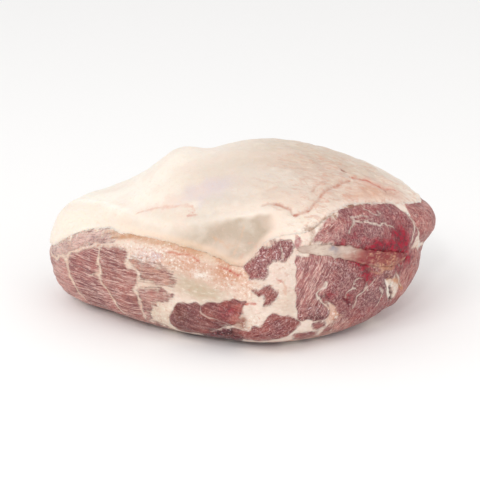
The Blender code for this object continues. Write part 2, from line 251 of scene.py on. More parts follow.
both_places = np.concatenate([lean_places, cap_places])
reach = bearing_extremes(both_places, np.hypot(both_places[:, 0], both_places[:, 1]), np.maximum, 0.0, 6)
outline_angles = np.linspace(0, 2 * math.pi, 4 * BEARINGS + 1)
outline_reach = np.interp(outline_angles, bearing_middles, reach, period=2 * math.pi)
outline_steps = np.hypot(np.diff(outline_reach * np.cos(outline_angles)),
                         np.diff(outline_reach * np.sin(outline_angles)))
outline_runs = np.concatenate([[0.0], np.cumsum(outline_steps)])
girth = outline_runs[-1]

cap_side = cap_normals[:, 2] > -0.3
cap_edge = bearing_extremes(cap_places[cap_side], cap_places[cap_side, 2], np.minimum, 200.0, 2)


def run_of(places):
    """The run of each place, in millimetres from the front corner, positive toward the right end."""
    run = np.interp(turn_from_front(places), outline_angles, outline_runs)
    return np.where(run > girth / 2, run - girth, run)


def over_edge(places):
    """Height of each place over the cap's lower edge at its bearing."""
    return places[:, 2] - np.interp(turn_from_front(places), bearing_middles, cap_edge, period=2 * math.pi)


def round_corners(points, closed):
    """A finer line through the given points, without corners."""
    points = np.array(points, dtype=float)
    if closed:
        before, after, beyond = np.roll(points, 1, 0), np.roll(points, -1, 0), np.roll(points, -2, 0)
    else:
        ends = np.concatenate([points[:1], points, points[-1:], points[-1:]])
        before, after, beyond = ends[:-3], ends[2:-1], ends[3:]
    line = []
    for t in (0.0, 0.25, 0.5, 0.75):
        line.append(0.5 * (2 * points + (after - before) * t
                           + (2 * before - 5 * points + 4 * after - beyond) * t**2
                           + (3 * points - before - 3 * after + beyond) * t**3))
    line = np.stack(line, axis=1).reshape(-1, 2)
    return line if closed else line[:-3]


def depth_inside(outline, spots, reach=DEPTH_REACH):
    """Distance in millimetres from each spot to a closed outline, negative outside it."""
    outline = round_corners(outline, True)
    near = (spots > outline.min(0) - reach) & (spots < outline.max(0) + reach)
    close = np.flatnonzero(np.all(near, axis=1))
    some = spots[close]
    best = np.full(len(some), reach)
    within = np.zeros(len(some), dtype=bool)
    for a, b in zip(outline, np.roll(outline, -1, 0)):
        side = b - a
        along = np.clip(((some - a) @ side) / max(side @ side, 1e-9), 0, 1)
        best = np.minimum(best, np.linalg.norm(some - a - along[:, None] * side, axis=1))
        crosses = (a[1] > some[:, 1]) != (b[1] > some[:, 1])
        rise = side[1] if side[1] else 1e-9
        within ^= crosses & (some[:, 0] < a[0] + (some[:, 1] - a[1]) * side[0] / rise)
    depth = np.full(len(spots), -reach)
    depth[close] = np.where(within, best, -best)
    return depth


def beside_line(line, spots):
    """Signed distance from each spot to an open line, and how far past its ends it is, in millimetres."""
    line = round_corners(line, False)
    nearest = np.full(len(spots), 99.0)
    side = np.ones(len(spots))
    past = np.zeros(len(spots))
    for number, (a, b) in enumerate(zip(line, line[1:])):
        edge = b - a
        share = ((spots - a) @ edge) / max(edge @ edge, 1e-9)
        away = np.linalg.norm(spots - a - np.clip(share, 0, 1)[:, None] * edge, axis=1)
        closer = away < nearest
        turn = edge[0] * (spots[:, 1] - a[1]) - edge[1] * (spots[:, 0] - a[0])
        over = np.zeros(len(spots))
        if number == 0:
            over = np.maximum(over, -share)
        if number == len(line) - 2:
            over = np.maximum(over, share - 1)
        side[closer] = np.where(turn < 0, -1.0, 1.0)[closer]
        past[closer] = (over * np.linalg.norm(edge))[closer]
        nearest[closer] = away[closer]
    return side * nearest, past


def nearest_line(spots, lines):
    """For the nearest line: signed distance, half its width (negative where there is none) and number."""
    signed = np.full(len(spots), 99.0)
    half = np.full(len(spots), -1.0)
    number = np.zeros(len(spots), dtype=int)
    for index, line in enumerate(lines):
        points = np.array(line[0])
        close = np.flatnonzero(np.all((spots > points.min(0) - LINE_REACH)
                                      & (spots < points.max(0) + LINE_REACH), axis=1))
        away, past = beside_line(line[0], spots[close])
        wanted = np.abs(away) < np.abs(signed[close])
        there = (1 - step(0.0, 2.5, past)) * (1 - step(2.5, 4.5, np.abs(away)))
        signed[close[wanted]] = away[wanted]
        half[close[wanted]] = (line[1] / 2 * there - (1 - there))[wanted]
        number[close[wanted]] = index
    return signed, half, number


def nearest_mark(spots, lines):
    """For the nearest coloured line: signed distance, half width, colour, strength and depth."""
    signed, half, number = nearest_line(spots, lines)
    colour = np.array([linear(line[2])[:3] for line in lines])[number]
    strength, deep = np.array([line[3:5] for line in lines])[number].T
    return signed, half, colour, strength, deep


# Places on the joint's side are given in millimetres: the run round its outline from the front corner,
# positive toward the right end, and the height above the ground.

# Each muscle: its outline, the angle of its grain from level, the length and girth of its bundles of
# strands, its colour, how far it bulges, how wet it looks, how mixed with fat its border is, and how
# threaded with pale strands.
MUSCLES = (
    # left cut face: the mottled strip under the cap, then the bundles that the knife crossed at a slant
    (((-205, 48), (-190, 46), (-176, 46), (-158, 53), (-148, 58), (-142, 64), (-131, 68), (-118, 67),
      (-106, 65), (-112, 63), (-122, 59), (-131, 56), (-137, 52), (-145, 48), (-157, 42), (-170, 37),
      (-205, 36)), 16, 7, 1.3, "#DFBFB4", 0.2, 0.2, 1.0, 0.8),
    (((-205, 36), (-180, 38), (-165, 41), (-153, 43), (-147, 41), (-147, 30), (-144, 18), (-142, 4),
      (-170, 2), (-205, 4)), 0, 20, 1.4, "#BF8A81", 0.6, 0.1, 0.2, 0.9),
    (((-143, 47), (-137, 51), (-128, 55), (-119, 58), (-116, 54), (-117, 48), (-114, 44), (-118, 38),
      (-113, 36), (-112, 32), (-107, 26), (-104, 18), (-101, 4), (-138, 4), (-141, 20), (-144, 34)),
     -1, 22, 1.4, "#9F625D", 0.9, 0.15, 0.2, 0.9),
    (((-115, 59), (-106, 61), (-97, 62), (-91, 60), (-90, 52), (-85, 49), (-80, 48), (-79, 41), (-83, 36),
      (-80, 30), (-79, 22), (-79, 6), (-97, 5), (-100, 18), (-104, 27), (-109, 33), (-111, 39), (-110, 44),
      (-113, 49), (-113, 54)), -2, 22, 1.4, "#A06A61", 1.0, 0.15, 0.25, 0.9),
    (((-86, 56), (-77, 57), (-66, 56), (-58, 54), (-52, 48), (-51, 44), (-56, 42), (-63, 41), (-71, 43),
      (-77, 46)), -2, 14, 1.5, "#C29380", 0.4, 0.1, 0.7, 0.8),
    (((-79, 36), (-73, 38), (-64, 38), (-51, 35), (-56, 32), (-62, 30), (-67, 26), (-70, 20), (-71, 14),
      (-76, 11), (-78, 20), (-77, 28)), 0, 14, 1.5, "#AF8075", 0.4, 0.1, 0.55, 0.8),
    # front corner: the long brown muscle, the wet one, the small one and the lowest one
    (((-51, 24), (-49, 29), (-45, 32), (-37, 33), (-29, 34), (-22, 36), (-16, 37), (-11, 39), (-5, 40),
      (0, 40), (5, 40), (2, 34), (2, 30), (0, 27), (3, 25), (-1, 24), (-5, 22), (-10, 19), (-18, 15),
      (-28, 10), (-39, 8), (-46, 8), (-52, 12), (-54, 19)), -14, 12, 1.3, "#7F443E", 0.9, 0.25, 0.08, 0.35),
    (((3, 61), (4, 66), (6, 70), (9, 73), (14, 75), (21, 76), (26, 78), (33, 79), (38, 79), (42, 78),
      (41, 75), (38, 72), (36, 70), (32, 68), (28, 68), (23, 68), (20, 66), (20, 60), (17, 57), (14, 56),
      (10, 55), (7, 55), (6, 58)), 50, 4, 1.3, "#8E5152", 0.8, 1.0, 0.2, 0.6),
    (((10, 48), (13, 49), (16, 50), (19, 52), (22, 51), (25, 49), (27, 46), (25, 42), (23, 40), (22, 38),
      (20, 37), (17, 37), (17, 40), (17, 43), (15, 44), (12, 45)),
     60, 4, 1.3, "#874E4A", 0.5, 0.6, 0.25, 0.6),
    (((-3, 18), (3, 19), (7, 19), (10, 22), (13, 23), (15, 23), (17, 27), (20, 31), (25, 31), (30, 30),
      (35, 29), (39, 27), (43, 23), (38, 19), (34, 15), (25, 12), (15, 10), (6, 10), (0, 12), (-4, 15)),
     28, 7, 1.3, "#88433F", 1.1, 0.45, 0.12, 0.55),
    # right cut face, under the bone: the block of upright grain and the large muscle cut across
    (((40, 67), (44, 69), (51, 69), (61, 69), (70, 68), (76, 65), (74, 60), (68, 55), (64, 50), (60, 44),
      (60, 39), (63, 34), (65, 29), (63, 24), (60, 23), (50, 24), (42, 26), (40, 31), (39, 45)),
     58, 14, 1.7, "#AA706B", 0.8, 0.4, 0.0, 0.85),
    (((40, 33), (46, 36), (52, 38), (57, 38), (61, 35), (64, 30), (64, 24), (60, 22), (50, 23), (41, 26)),
     80, 4, 1.4, "#7E444A", 1.1, 1.0, 0.0, 0.45),
    (((64, 69), (76, 66), (92, 57), (102, 54), (112, 50), (120, 50), (118, 46), (109, 44), (112, 36),
      (119, 28), (127, 21), (128, 16), (120, 10), (106, 7), (94, 10), (86, 14), (79, 19), (73, 26), (66, 33),
      (61, 38), (58, 42), (58, 46), (61, 54), (63, 62)), 50, 2.8, 1.2, "#823B40", 1.0, 0.4, 0.0, 0.72),
    (((106, 52), (118, 53), (125, 50), (126, 45), (120, 42), (113, 43), (107, 45)),
     12, 6, 1.2, "#7A3B3A", 0.8, 0.35, 0.0, 0.6),
    # right cut face, over the bone
    (((57, 77), (61, 80), (68, 83), (77, 86), (85, 88), (93, 90), (104, 94), (120, 95), (136, 93), (144, 88),
      (149, 83), (150, 78), (150, 72), (149, 66), (142, 61), (136, 54), (126, 60), (115, 62), (102, 64),
      (92, 68), (82, 72), (72, 75), (64, 76)), 46, 2.8, 1.2, "#8F4247", 0.8, 0.3, 0.0, 0.72),
    (((57, 77), (61, 80), (68, 83), (77, 86), (86, 88), (90, 85), (86, 80), (80, 76), (72, 75), (64, 76)),
     19, 12, 1.3, "#C5938A", 0.5, 0.2, 0.6, 0.9),
    # right end: the lobe and the muscle under its notch
    (((151, 79), (157, 83), (168, 85), (184, 88), (210, 92), (210, 56), (180, 54), (170, 54), (160, 57),
      (153, 61), (151, 66), (150, 73)), 75, 4, 1.3, "#AB655F", 0.9, 0.2, 0.0, 0.75),
    (((126, 54), (138, 58), (147, 56), (158, 53), (172, 51), (210, 52), (210, 4), (170, 3), (150, 5),
      (134, 10), (127, 18), (130, 24), (132, 30), (128, 37), (122, 42), (126, 48)),
     72, 7, 1.4, "#A5635E", 0.8, 0.2, 0.1, 0.75),
    # scraps of lean in the fat along the bottom; the first is dark lean, painted near black also as shade
    # under the
    #     # front edge, which lifts off the floor
    (((-28, 10), (-21, 14), (-14, 17), (-7, 19), (0, 19), (3, 13), (0, 4), (-12, 3), (-28, 4)),
     0, 8, 1.6, "#3A1216", 0.6, 0.6, 0.1, 0.2),
    (((52, 20), (57, 22), (62, 20), (61, 16), (55, 16)), 20, 4, 1.6, "#9C6660", 0.4, 0.4, 0.3, 0.2),
    (((38, 15), (46, 15), (56, 14), (58, 11), (50, 8), (40, 9)), 5, 5, 1.6, "#955D57", 0.4, 0.4, 0.3, 0.2),
    (((62, 15), (68, 17), (72, 14), (70, 10), (63, 10)), 30, 4, 1.6, "#9C6660", 0.4, 0.4, 0.3, 0.2),
    (((-98, 10), (-82, 13), (-66, 11), (-56, 8), (-60, 2), (-98, 2)),
     -5, 12, 2.0, "#BC9184", 0.3, 0.1, 0.9, 0.1),
    (((76, 24), (90, 16), (106, 11), (120, 10), (110, 4), (88, 4), (74, 8), (68, 18)),
     70, 8, 1.6, "#BC8276", 0.3, 0.3, 0.8, 0.85),
)

# Darker, redder and greyer places in the lean: place, half sizes, slant, colour and strength.
LEAN_STAINS = (
    ((-42, 21), 9, 11, 0, "#5A3029", 0.7),
    ((-6, 31), 8, 9, -20, "#98423A", 0.7),
    ((-25, 18), 16, 4, -14, "#8A544C", 0.5),
    ((104, 78), 20, 6, 4, "#7C4C53", 0.7),
    ((100, 36), 13, 10, -20, "#6C3F48", 0.7),
    ((114, 47), 6, 4, -10, "#6E3030", 0.8),
    ((74, 52), 6, 8, 60, "#8E5152", 0.5),
    ((48, 62), 10, 5, 0, "#B07470", 0.5),
    ((118, 90), 16, 4, 0, "#A15355", 0.6),
    ((-126, 19), 13, 14, 0, "#7B4642", 0.75),
    # Partly painted shade: near black where dark lean lies under the front edge, which lifts off the floor.
    ((-11, 13), 13, 6, 8, "#1E0608", 0.95),
    ((-1, 30), 4, 9, 0, "#BC7C6D", 0.7),
    ((52, 25.5), 13, 3, 0, "#4E2024", 0.85),
    ((54, 36.5), 8, 4, 10, "#5A2830", 0.8),
    ((64, 41), 4, 4.5, 0, "#7A2A2C", 0.8),
    ((102, 20), 26, 8, 14, "#A04243", 0.6),
)

# Thin seams of white fat between and inside the muscles: the line of each, its width and how white it is.
SEAMS = (
    (((-205, 37), (-190, 37), (-175, 38), (-160, 41), (-152, 44), (-145, 48), (-137, 53), (-128, 57),
      (-121, 60), (-112, 62), (-100, 64), (-92, 66)), 2.4, 0.8),
    (((-145, 48), (-145, 41), (-146, 36), (-145, 31), (-145, 26), (-143, 19), (-141, 12), (-139, 5)),
     1.8, 0.7),
    (((-118, 60), (-114, 54), (-115, 48), (-112, 44), (-114, 40), (-112, 36), (-110, 32), (-105, 26),
      (-102, 18), (-99, 8)), 1.6, 0.7),
    (((-91, 66), (-88, 59), (-88, 52), (-84, 50), (-79, 49), (-78, 42), (-81, 36), (-79, 32), (-78, 24),
      (-78, 13)), 2.2, 0.75),
    (((-113, 37), (-118, 39), (-123, 37)), 1.2, 0.6),
    (((-29, 35), (-28, 30), (-26, 27), (-17, 25), (-10, 23), (-4, 20)), 0.7, 0.4),
    (((61, 50), (58, 47), (55, 44), (55.5, 40), (59, 36), (62.5, 32), (66, 28)), 1.2, 0.85),
    (((77, 35), (76, 39), (78, 42), (82, 43), (85, 42)), 1.1, 0.8),
    (((82, 46), (85, 48), (89, 48)), 0.9, 0.8),
    (((87, 80), (91, 82), (96, 83), (99, 85), (108, 83), (112, 82), (117, 80), (121, 80), (127, 76)),
     0.9, 0.85),
    (((118, 89), (120, 87), (123, 85), (126, 86)), 0.8, 0.7),
    (((98, 87), (106, 87), (112, 86)), 0.8, 0.6),
    (((146, 92), (149, 86), (149, 80), (149, 76), (149, 72), (144, 68), (138, 60)), 1.2, 0.8),
    (((112, 40), (117, 31), (124, 24)), 1.6, 0.9),
    (((124, 44), (130, 37), (134, 30)), 1.4, 0.9),
    (((94, 46), (92, 40), (88, 36), (87, 31), (84, 27)), 0.9, 0.75),
    (((92, 40), (97, 43), (100, 46)), 0.8, 0.7),
    (((104, 40), (108, 32), (106, 22)), 0.8, 0.7),
    (((30, 66), (32, 72), (31, 77)), 0.7, 0.6),
    (((-20, 15.5), (-14, 18), (-7, 20), (1, 21)), 1.0, 0.7),
)

# Streaks and creases on the fat: the line, its width, its colour, its strength and how deep it is.
STREAKS = (
    (((-112, 67), (-100, 69), (-88, 71), (-76, 72), (-62, 72), (-50, 71), (-40, 69), (-30, 68)),
     1.8, "#C08B68", 0.8, 0.4),
    (((-58, 66), (-50, 66), (-42, 66), (-36, 65), (-31, 63)), 1.6, "#BE6A4E", 0.8, 0.3),
    (((-17, 62), (-9, 60), (-4, 58), (1, 57)), 1.3, "#B04A36", 0.9, 0.4),
    (((-22, 67), (-14, 65), (-6, 63)), 3.2, "#C58660", 0.8, 0.2),
    (((4, 37), (7, 38), (11, 38)), 1.4, "#B85A4C", 0.9, 0.2),
    (((30, 54), (32, 50), (31, 46)), 1.6, "#CFA791", 0.7, 0.2),
    (((26, 56), (29, 55)), 1.2, "#BC7A6C", 0.8, 0.1),
    (((26, 79), (30, 82), (35, 83)), 1.4, "#B0605A", 0.8, 0.1),
    (((43, 75), (45, 77), (48, 79)), 3.0, "#A8686A", 0.9, 0.0),
    (((54, 75), (60, 81), (71, 86), (88, 89)), 1.1, "#986E56", 0.9, 0.3),
    (((55, 84), (63, 86), (71, 88), (85, 90.5), (99, 91.5), (119, 91)), 1.1, "#A57A60", 0.85, 0.2),
    # Partly painted shade: these two dark lines are gaps, sunk into the surface and painted dark for the
    # shade in them.
    (((75, 36), (78, 34), (80, 32)), 2.2, "#54272A", 0.95, 1.2),
    (((127, 22), (123, 28), (117, 36)), 3.2, "#5E2A2C", 0.95, 2.2),
    (((92, 55), (97, 52), (103, 50), (107, 51)), 1.4, "#CFA184", 0.8, -0.3),
    (((103, 55), (109, 51), (116, 49), (122, 51), (127, 55)), 1.4, "#C18B6C", 0.75, -0.4),
    (((108, 57), (114, 55), (120, 54), (125, 57)), 1.2, "#CA9B7C", 0.75, -0.3),
    (((111, 43), (119, 41), (126, 38), (132, 33), (135, 28)), 2.8, "#C58A64", 0.85, -0.4),
    (((110, 43), (115, 34), (122, 26)), 2.2, "#F0E2D4", 0.9, -0.3),
    (((96, 57), (99, 57), (103, 54)), 1.6, "#EBD3C2", 0.9, -0.3),
)

# Stains and shades on the fat of the lean's side: place, half length, half width, slant, colour and strength.
FAT_STAINS = (
    ((-130, 30), 60, 34, 0, "#E3C6B0", 0.9),
    ((-30, 56), 34, 9, -8, "#CBA58F", 0.9),
    ((-10, 60), 11, 6, -16, "#BC8262", 0.95),
    ((-32, 43), 22, 7, -6, "#C0AC94", 0.95),
    ((-30, 54), 9, 2.5, -10, "#E8DED3", 0.8),
    ((-74, 60), 10, 5, 0, "#D7C4BE", 0.8),
    ((-66, 62), 6, 2.5, -6, "#C9BEC6", 0.7),
    ((-150, 57), 30, 6, 8, "#D2B2A5", 0.7),
    ((-66, 34), 12, 18, 0, "#CEB3A1", 0.7),
    ((-60, 18), 10, 12, 0, "#D5C5B2", 0.8),
    ((10, 74), 8, 4, 40, "#D1A38B", 0.8),
    ((2, 60), 5, 12, 8, "#D8B29B", 0.9),
    ((3, 46), 6, 8, 0, "#DEC3B1", 0.9),
    ((27, 58), 8, 5, 20, "#DFC9BC", 0.8),
    ((34, 46), 4, 10, 10, "#E0CABE", 0.8),
    ((33, 40), 7, 12, 0, "#D5C0AF", 0.9),
    ((8, 24), 5, 6, 0, "#DDCFC0", 0.8),
    ((71, 27), 11, 10, -40, "#C99D89", 0.9),
    ((60, 80), 10, 3, 30, "#CFB5A5", 0.8),
    ((1, 24), 6, 5, 0, "#8E5E4C", 0.95),
    # Partly painted shade: dark red-brown under the front edge, which lifts off the floor.
    ((-20, 9), 14, 4, 0, "#4A1C1E", 0.95),
    ((-6, 12), 9, 5, 10, "#451A1C", 0.95),
    ((70, 9), 60, 3.0, 5, "#995549", 0.8),
    ((154, 83), 7, 3, 0, "#E1D5C8", 0.9),
    ((145, 57), 6, 5, 30, "#D8BEAD", 0.9),
    ((122, 36), 10, 8, -40, "#D8CABC", 0.9),
)

# Where the fat on the side is flecked white and pink, not smooth: place, half sizes, slant and strength.
FLECKED = (
    ((-55, 61), 48, 9, -5, 1.0),
    ((-10, 54), 16, 10, 0, 0.9),
    ((-150, 58), 44, 11, 10, 1.0),
    ((30, 55), 18, 20, 0, 0.45),
    ((-62, 22), 18, 16, 0, 0.6),
    ((74, 22), 16, 12, 0, 1.0),
    ((122, 34), 10, 10, 0, 0.9),
    ((150, 58), 10, 8, 0, 0.8),
    ((10, 22), 12, 12, 0, 0.8),
    ((4, 50), 10, 16, 0, 0.9),
    ((2, 65), 10, 9, 0, 1.0),
)

# Blood in the lean: place, half length, half width, slant and strength.
BLOOD = (
    ((129, 67), 12, 8, 60, 1.0),
    ((127, 59), 8, 6, 60, 1.0),
    ((112, 66), 20, 6, -6, 0.95),
    ((110, 60), 20, 5, -6, 0.7),
    ((99, 61), 8, 5, -10, 0.8),
    ((90, 61), 10, 5, -14, 0.8),
    ((93, 52), 5, 9, 0, 0.8),
    ((134, 52), 6, 5, 60, 0.8),
    ((92, 50), 6, 8, 0, 0.45),
    ((78, 75), 6, 3, 0, 0.5),
    ((124, 50), 7, 5, 20, 0.45),
    ((79, 36), 6, 3, -30, 0.4),
    ((64, 41), 4, 4, -50, 0.4),
    ((-7, 32), 4, 7, -70, 0.4),
    # Partly painted shade: darkens the place under the front edge, which lifts off the floor.
    ((-14, 11), 14, 5, 0, 0.25),
    ((90, 78), 12, 3, 10, 0.3),
    ((112, 10), 26, 3, 8, 0.4),
)

# Fat beside the cut edge of the cap, by run, so that the cap and the lean's fat meet in one colour.
EDGE_FAT = (
    (-190, "#F3E6D8"), (-150, "#F1E2D3"), (-110, "#EFDCCB"), (-70, "#E9D0BB"), (-40, "#D3B89F"),
    (-10, "#D2B69E"), (12, "#E3C6B3"), (30, "#EBD6C6"), (50, "#EEDFD1"), (90, "#E6D3C5"),
    (130, "#E4D1C4"), (190, "#E9D9CB"),
)


def turned(spots, angle):
    """How far each spot lies along and across a direction at this angle from level."""
    along = spots[:, 0] * np.cos(angle) + spots[:, 1] * np.sin(angle)
    across = spots[:, 1] * np.cos(angle) - spots[:, 0] * np.sin(angle)
    return along, across


def oval_cover(spots, middle, half_length, half_width, slant, edge):
    """1 in the middle of a slanted oval, falling softly to 0 past its edge."""
    along, across = turned(spots - middle, math.radians(slant))
    return np.exp(-((along / half_length) ** 2 + (across / half_width) ** 2) ** edge)


def lay_colour(tint, cover, colour):
    """Lays a hex colour, or a colour for each spot, over the tint as strongly as the cover says."""
    if isinstance(colour, str):
        colour = np.array(linear(colour)[:3])
    tint += cover[:, None] * (colour - tint)


def lay_stains(tint, spots, stains):
    """Lays soft oval patches of other colours over a colour for each spot."""
    for *oval, colour, strength in stains:
        lay_colour(tint, strength * oval_cover(spots, *oval, STAIN_EDGE), colour)


def with_colours(spots, base, stains):
    """A colour for each spot: a base colour with soft patches of others laid over it."""
    tint = np.tile(np.array(linear(base)[:3]), (len(spots), 1))
    lay_stains(tint, spots, stains)
    return tint


def patches(spots, table):
    """How strongly each spot lies in soft oval patches."""
    strongest = np.zeros(len(spots))
    for *oval, strength in table:
        strongest = np.maximum(strongest, strength * oval_cover(spots, *oval, PATCH_EDGE))
    return strongest


def edge_fat(run):
    """The colour of the fat at the cap's edge, at each run."""
    runs = [entry[0] for entry in EDGE_FAT]
    colours = np.array([linear(entry[1])[:3] for entry in EDGE_FAT])
    return np.stack([np.interp(run, runs, colours[:, channel]) for channel in range(3)], 1)


# The back reads the front's map of muscles, shifted and swayed by this much along the run and in height.
BACK_SHIFT = (-13, -5)
BACK_SWAY = (12, 6)
SWAY_SIZE = (70, 60)


def side_spots(places):
    """Run and height of each place. The muscles run through the joint, so the back reads the front's map."""
    mirrored = places.copy()
    mirrored[:, 1] = -np.abs(places[:, 1])
    spots = np.stack([run_of(mirrored), places[:, 2]], 1)
    behind = step(-4, 30, places[:, 1])
    for way, seed in ((0, 11), (1, 12)):
        spots[:, way] += behind * (BACK_SWAY[way] * ripple(places, SWAY_SIZE[way], seed) + BACK_SHIFT[way])
    return spots


def two_ripples(places, size, seed):
    """Unevenness in two directions, for moving spots a little."""
    return np.stack([ripple(places, size, seed), ripple(places, size, seed + 1)], 1)


def seen_from_front(places):
    """1 on the front of the joint, falling to 0 on its back."""
    return 1 - step(-6, 12, places[:, 1])


def band(distance, width):
    """1 where the distance is 0, falling softly to nothing past this width."""
    return np.exp(-(distance / width) ** 2)


# The underside reads the map too: its middle lies at this height, and these stretch its length and depth.
UNDERSIDE_HEIGHT = 44
UNDERSIDE_STRETCH = (1.25, 0.36)

lean_spots = side_spots(lean_places)
underside = step(0.55, 0.85, -lean_normals[:, 2]) * (1 - step(3, 6, lean_places[:, 2]))
flat_spots = lean_places[:, :2] * UNDERSIDE_STRETCH + (0, UNDERSIDE_HEIGHT)
lean_spots = np.where(underside[:, None] > 0.5, flat_spots, lean_spots)
lean_run = lean_spots[:, 0]
lean_over_edge = over_edge(lean_places)
uneven = two_ripples(lean_places, 7, 1)
ragged_spots = lean_spots + 0.7 * uneven
seen_side = seen_from_front(lean_places)

# Each spot takes its colour and looks from the muscles near it, and its grain from the one it is deepest in.
depth = np.full(len(lean_places), -DEPTH_REACH)
muscle_at = np.zeros(len(lean_places), dtype=int)
lean_tint = np.zeros((len(lean_places), 3))
traits = np.zeros((len(lean_places), 3))
shares = np.full(len(lean_places), 1e-9)
bulge = np.zeros(len(lean_places))
for number, (outline, _, _, _, colour, rise, wetness, mixing, threading) in enumerate(MUSCLES):
    into = depth_inside(outline, ragged_spots)
    muscle_at[into > depth] = number
    share = np.exp(np.clip(into, -DEPTH_REACH, 2) / 1.2)
    lean_tint += share[:, None] * np.array(linear(colour)[:3])
    traits += share[:, None] * np.array((wetness, mixing, threading))
    shares += share
    bulge = np.maximum(bulge, rise * step(-0.5, 5.0, into))
    depth = np.maximum(depth, into)
lean_tint /= shares[:, None]
traits /= shares[:, None]

# The muscles of the left cut face lie packed, with thin seams, up to this stretch of the run. Under the cap's
# edge the lean ends clean, but not at the front corner, where fat is mixed into it.
PACKED_FACE, PACKED_BY = (-84, -76), 0.8
CORNER_RUN, CORNER_HALF = -20, (40, 56)
depth += PACKED_BY * (1 - step(*PACKED_FACE, lean_run))
clean_edge = step(-8, -4, lean_over_edge) * step(*CORNER_HALF, np.abs(lean_run - CORNER_RUN))
traits[:, 1] *= 1 - (0.35 + 0.5 * step(-60, 40, lean_run)) * clean_edge
lay_stains(lean_tint, lean_spots + 2.0 * uneven, LEAN_STAINS)
muscle_grain = np.array([(math.radians(muscle[1]), muscle[2], muscle[3]) for muscle in MUSCLES])


def along_grain(spots, muscle):
    """Places in a muscle's own grain: bundle lengths along it, bundles across it and a number of its own."""
    angle, length, thickness = muscle_grain[muscle].T
    along, across = turned(spots, angle)
    return np.stack([along / length, across / thickness, muscle * 7.3], 1)


# The grain is kept for each corner of a face, so that it changes at once from one muscle to the next.
corner_point = np.empty(len(lean_mesh.loops), dtype=np.int32)
lean_mesh.loops.foreach_get("vertex_index", corner_point)
face_corners = np.empty(len(lean_mesh.polygons), dtype=np.int32)
lean_mesh.polygons.foreach_get("loop_total", face_corners)
first_corner = np.cumsum(face_corners) - face_corners
corner_muscle = np.repeat(muscle_at[corner_point[first_corner]], face_corners)
corner_grain = along_grain(lean_spots[corner_point], corner_muscle)

# Seams and streaks sink a little, and lean gives way to fat at the cap's edge and round the underside.
SEAM_SINK, SEAM_SPREAD, STREAK_SPREAD = 0.5, 1.6, 1.4
seam_side, seam_half, seam_number = nearest_line(ragged_spots, SEAMS)
seam_cover = np.array([entry[2] for entry in SEAMS])[seam_number]
bulge -= SEAM_SINK * band(seam_side, SEAM_SPREAD) * (seam_half > 0)
depth = np.minimum(depth, np.abs(underside - 0.5) * 8 - 0.6)
fat_margin = 2.0 - 0.9 * clean_edge - 1.3 * band(lean_run - 14, 12)
depth = np.minimum(depth, -lean_over_edge - fat_margin + 0.7 * (1 - 0.8 * clean_edge) * uneven[:, 0])
streak_side, streak_half, streak_tint, streak_cover, streak_deep = nearest_mark(
    lean_spots + 0.4 * uneven, STREAKS)
streak_half = np.where(seen_side > 0.5, streak_half, -1.0)
bulge -= streak_deep * band(streak_side, STREAK_SPREAD) * (streak_half > 0)

# The side's fat is plainer at the back, takes the cap's colour along its edge, and has a painted tan shadow
# line just under the cap's edge on the left cut face.
lean_fat_tint = with_colours(lean_spots + 1.5 * uneven, "#DFCCBE", FAT_STAINS)
lay_colour(lean_fat_tint, 0.7 * (1 - seen_side), "#E0CCBD")
lay_colour(lean_fat_tint, step(-7.0, -2.0, lean_over_edge), edge_fat(lean_run))
left_side = step(-132, -116, lean_run) * (1 - step(-36, -24, lean_run)) * seen_side
# Painted shadow: a tan line just under the cap's edge on the left cut face.
lip_shadow = left_side * band(lean_over_edge + 2.6 + 0.5 * uneven[:, 1], 1.6)
lay_colour(lean_fat_tint, 0.75 * lip_shadow, "#BC8F70")
blood = np.minimum(1.3 * patches(lean_spots + 1.5 * uneven, BLOOD), 1.0) * (0.3 + 0.7 * seen_side)
flecked = 0.25 + 0.75 * patches(lean_spots, FLECKED)

bone_mesh = even_copy("blade_bone", BONE_CELL)
bone_places, bone_normals = read_points(bone_mesh)


def meet(places, neighbour, near, overlap):
    """Draws the points that lie near another piece a little way into it, so that no gap shows."""
    solid = bmesh.new()
    solid.from_mesh(neighbour)
    surface = BVHTree.FromBMesh(solid)
    solid.free()
    moved = places.copy()
    box = read_points(neighbour)[0]
    close = np.flatnonzero(np.all((places > box.min(0) - near) & (places < box.max(0) + near), axis=1))
    for index in close:
        hit, _, _, gap = surface.find_nearest(Vector(places[index] / 1000), near / 1000)
        if hit is not None:
            share = 1 - step(0.3, 1.0, gap * 1000 / near)
            way = np.array(hit) * 1000 - places[index]
            moved[index] += way * share * (1 + overlap / max(gap * 1000, 0.1))
    return moved


# How near a point lies to its neighbour when it is drawn to it, how far it goes in, and the heights and
# widths of the lean's relief, all in millimetres. The width of a strand is in bundles.
MEET_BONE, MEET_CAP = (2.2, 0.3), (3.0, 0.4)
STRAND_RISE, LUMP_RISE, SWELL_RISE = 0.16, 0.14, 0.18
STRAND_SIZE, LUMP_SIZE, SWELL_SIZE = 2.4, 4.5, 9

